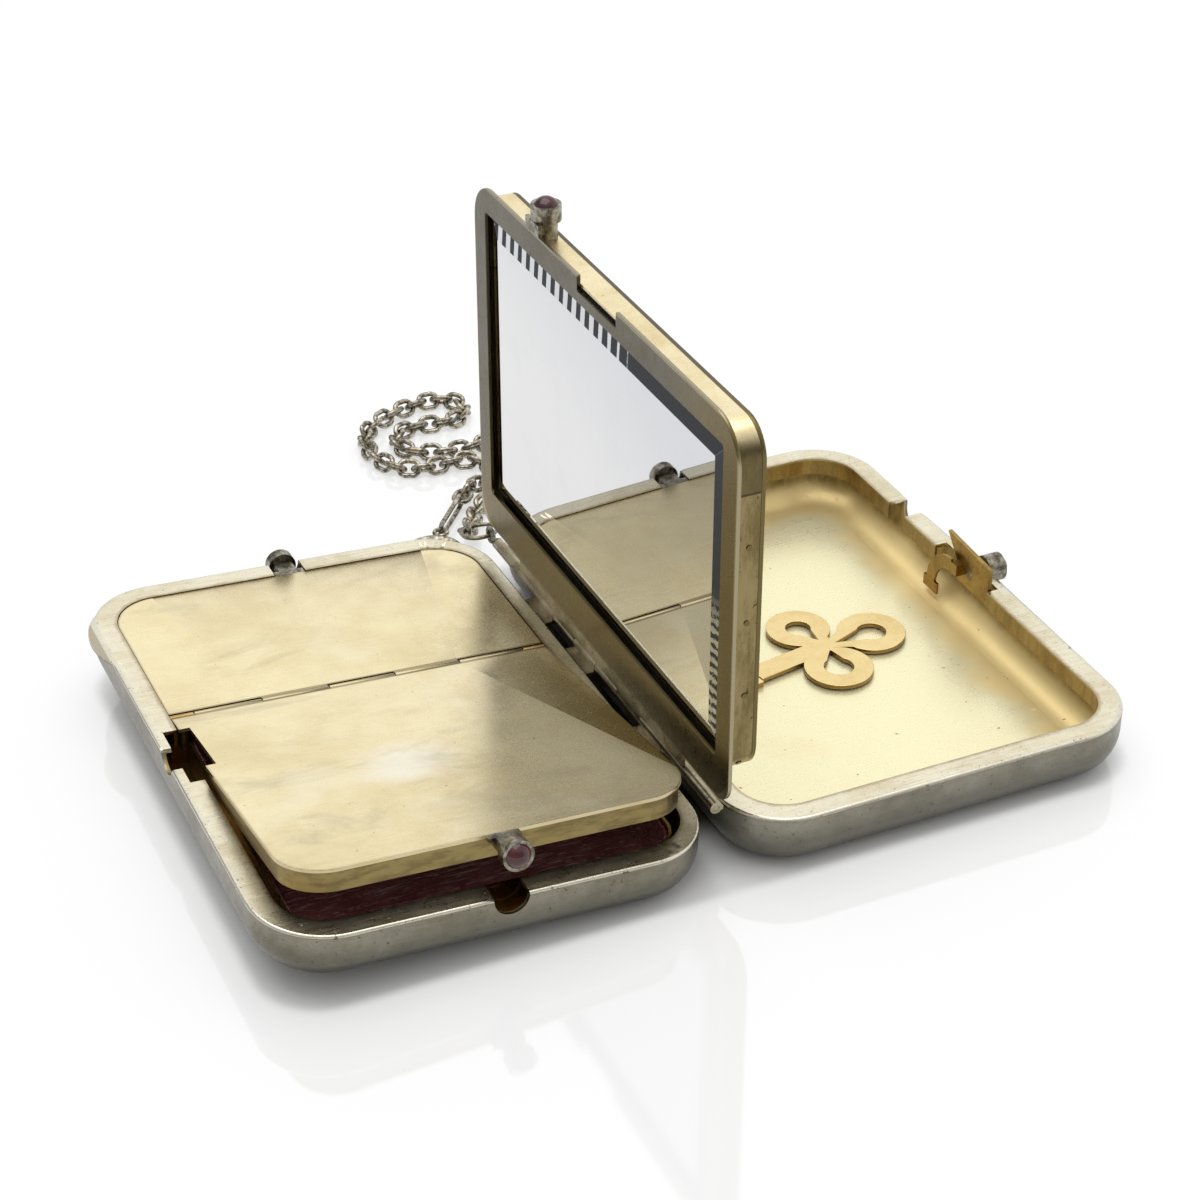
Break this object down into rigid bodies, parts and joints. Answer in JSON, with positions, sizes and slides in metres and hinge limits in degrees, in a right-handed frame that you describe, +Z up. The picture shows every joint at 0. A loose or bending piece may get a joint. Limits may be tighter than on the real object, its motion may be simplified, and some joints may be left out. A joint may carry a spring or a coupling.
{
  "type": "vanity case",
  "caption": "Flat hinged vanity case of gilt metal with a mirror leaf, two lidded compartments, a cover tray with a trefoil clip, a push-button latch and a wrist chain.",
  "frame": {"origin": "middle of the cover's flat underside, on the table", "axes": "+Z up; +Y along the main hinge, away from the front compartment; +X from the main hinge towards the cover's latch"},
  "size_m": [0.1667, 0.1827, 0.0916],
  "materials": {
    "outer_silver_gilt": "worn silver-gilt, dulled and finely pitted",
    "rim_gilt": "pale champagne gilt, brushed and worn at the corners",
    "lid_gilt": "pale champagne gilt with faint clouds and fine scratches",
    "hinge_gilt": "darkened gilt",
    "tray_gilt": "bright yellow gilt",
    "maroon_leather": "dark maroon leather with fine hair-like scratches",
    "old_silver": "oxidised silver",
    "chain_silver": "oxidised silver, dark in the hollows",
    "red_stone": "dark red cabochon",
    "frame_gilt": "brushed gilt, browned",
    "mirror_glass": "bevelled mirror with a black outline",
    "backing_board": "dark board behind the glass",
    "latch_brass": "golden brown metal",
    "clip_gold": "bright yellow gilt"
  },
  "bodies": {
    "cover": {"cover_shell": "outer_silver_gilt", "cover_rim": "rim_gilt", "cover_hinge_leaf": "hinge_gilt", "main_hinge_pin": "hinge_gilt", "chain_eye": "old_silver", "clip_root": "clip_gold", "clip_rivets": "clip_gold"},
    "mirror_leaf": {"mirror_frame": "frame_gilt", "mirror_hinge_leaf": "hinge_gilt", "mirror_box": "frame_gilt", "mirror_back_plate": "frame_gilt", "mirror_glass": "mirror_glass", "mirror_backing": "backing_board", "mirror_rivets": "frame_gilt", "mirror_thumb_piece": "old_silver", "mirror_stone": "red_stone"},
    "base": {"base_shell": "outer_silver_gilt", "base_rim": "rim_gilt", "base_hinge_leaf": "hinge_gilt", "divider": "tray_gilt", "front_tray": "tray_gilt", "rear_tray": "tray_gilt", "front_lining": "maroon_leather"},
    "front_lid_pin": {"lid_hinge_pin": "hinge_gilt"},
    "front_lid": {"front_lid": "lid_gilt", "front_thumb_piece": "old_silver", "front_stone": "red_stone"},
    "rear_lid": {"rear_lid": "lid_gilt", "rear_thumb_piece": "old_silver", "rear_stone": "red_stone"},
    "latch": {"latch_plate": "latch_brass", "latch_spring": "latch_brass", "latch_button": "old_silver", "latch_stone": "red_stone"},
    "clip": {"trefoil_clip": "clip_gold"},
    "chain": {"jump_ring": "old_silver", "chain_links": "chain_silver", "end_link": "chain_silver", "spring_ring": "chain_silver"},
    "ring_bolt": {"ring_bolt": "chain_silver"}
  },
  "joints": [
    {"name": "mirror_hinge", "type": "hinge", "parent": "cover", "child": "mirror_leaf", "pos_m": [-0.04085, 0, 0.0111], "axis": [0, -1, 0], "range_deg": [-90, 0]},
    {"name": "base_hinge", "type": "hinge", "parent": "mirror_leaf", "child": "base", "pos_m": [-0.04085, 0, 0.0111], "axis": [0, -1, 0], "range_deg": [-86.5, 0]},
    {"name": "front_lid_press", "type": "hinge", "parent": "base", "child": "front_lid_pin", "pos_m": [-0.08147, 0.0118, 0.01197], "axis": [-0.9981, 0, 0.061], "range_deg": [-8.4, 0]},
    {"name": "front_lid_hinge", "type": "hinge", "parent": "front_lid_pin", "child": "front_lid", "pos_m": [-0.08147, 0.0118, 0.01197], "axis": [-0.9981, 0, 0.061], "range_deg": [0, 51.6]},
    {"name": "rear_lid_hinge", "type": "hinge", "parent": "base", "child": "rear_lid", "pos_m": [-0.08147, 0.0118, 0.01197], "axis": [0.9981, 0, -0.061], "range_deg": [0, 60]},
    {"name": "latch_slide", "type": "slide", "parent": "cover", "child": "latch", "axis": [-1, 0, 0], "range_m": [0, 0.0015], "stiffness_N_per_m": 600},
    {"name": "clip_lift", "type": "hinge", "parent": "cover", "child": "clip", "pos_m": [-0.00999, -0.00165, 0.0011], "axis": [0.1736, -0.9848, 0], "range_deg": [0, 8], "stiffness_Nm_per_rad": 0.2},
    {"name": "chain_swing", "type": "hinge", "parent": "cover", "child": "chain", "pos_m": [-0.04085, 0.05045, 0.0111], "axis": [0, 0, 1], "range_deg": [-8, 8]},
    {"name": "ring_bolt_slide", "type": "hinge", "parent": "chain", "child": "ring_bolt", "pos_m": [-0.04765, 0.0637, 0.00125], "axis": [0, 0, -1], "range_deg": [0, 50], "stiffness_Nm_per_rad": 0.01}
  ],
  "couplings": [
    {"joint": "front_lid_press", "follows": "base_hinge", "ratio": 0.0971}
  ]
}
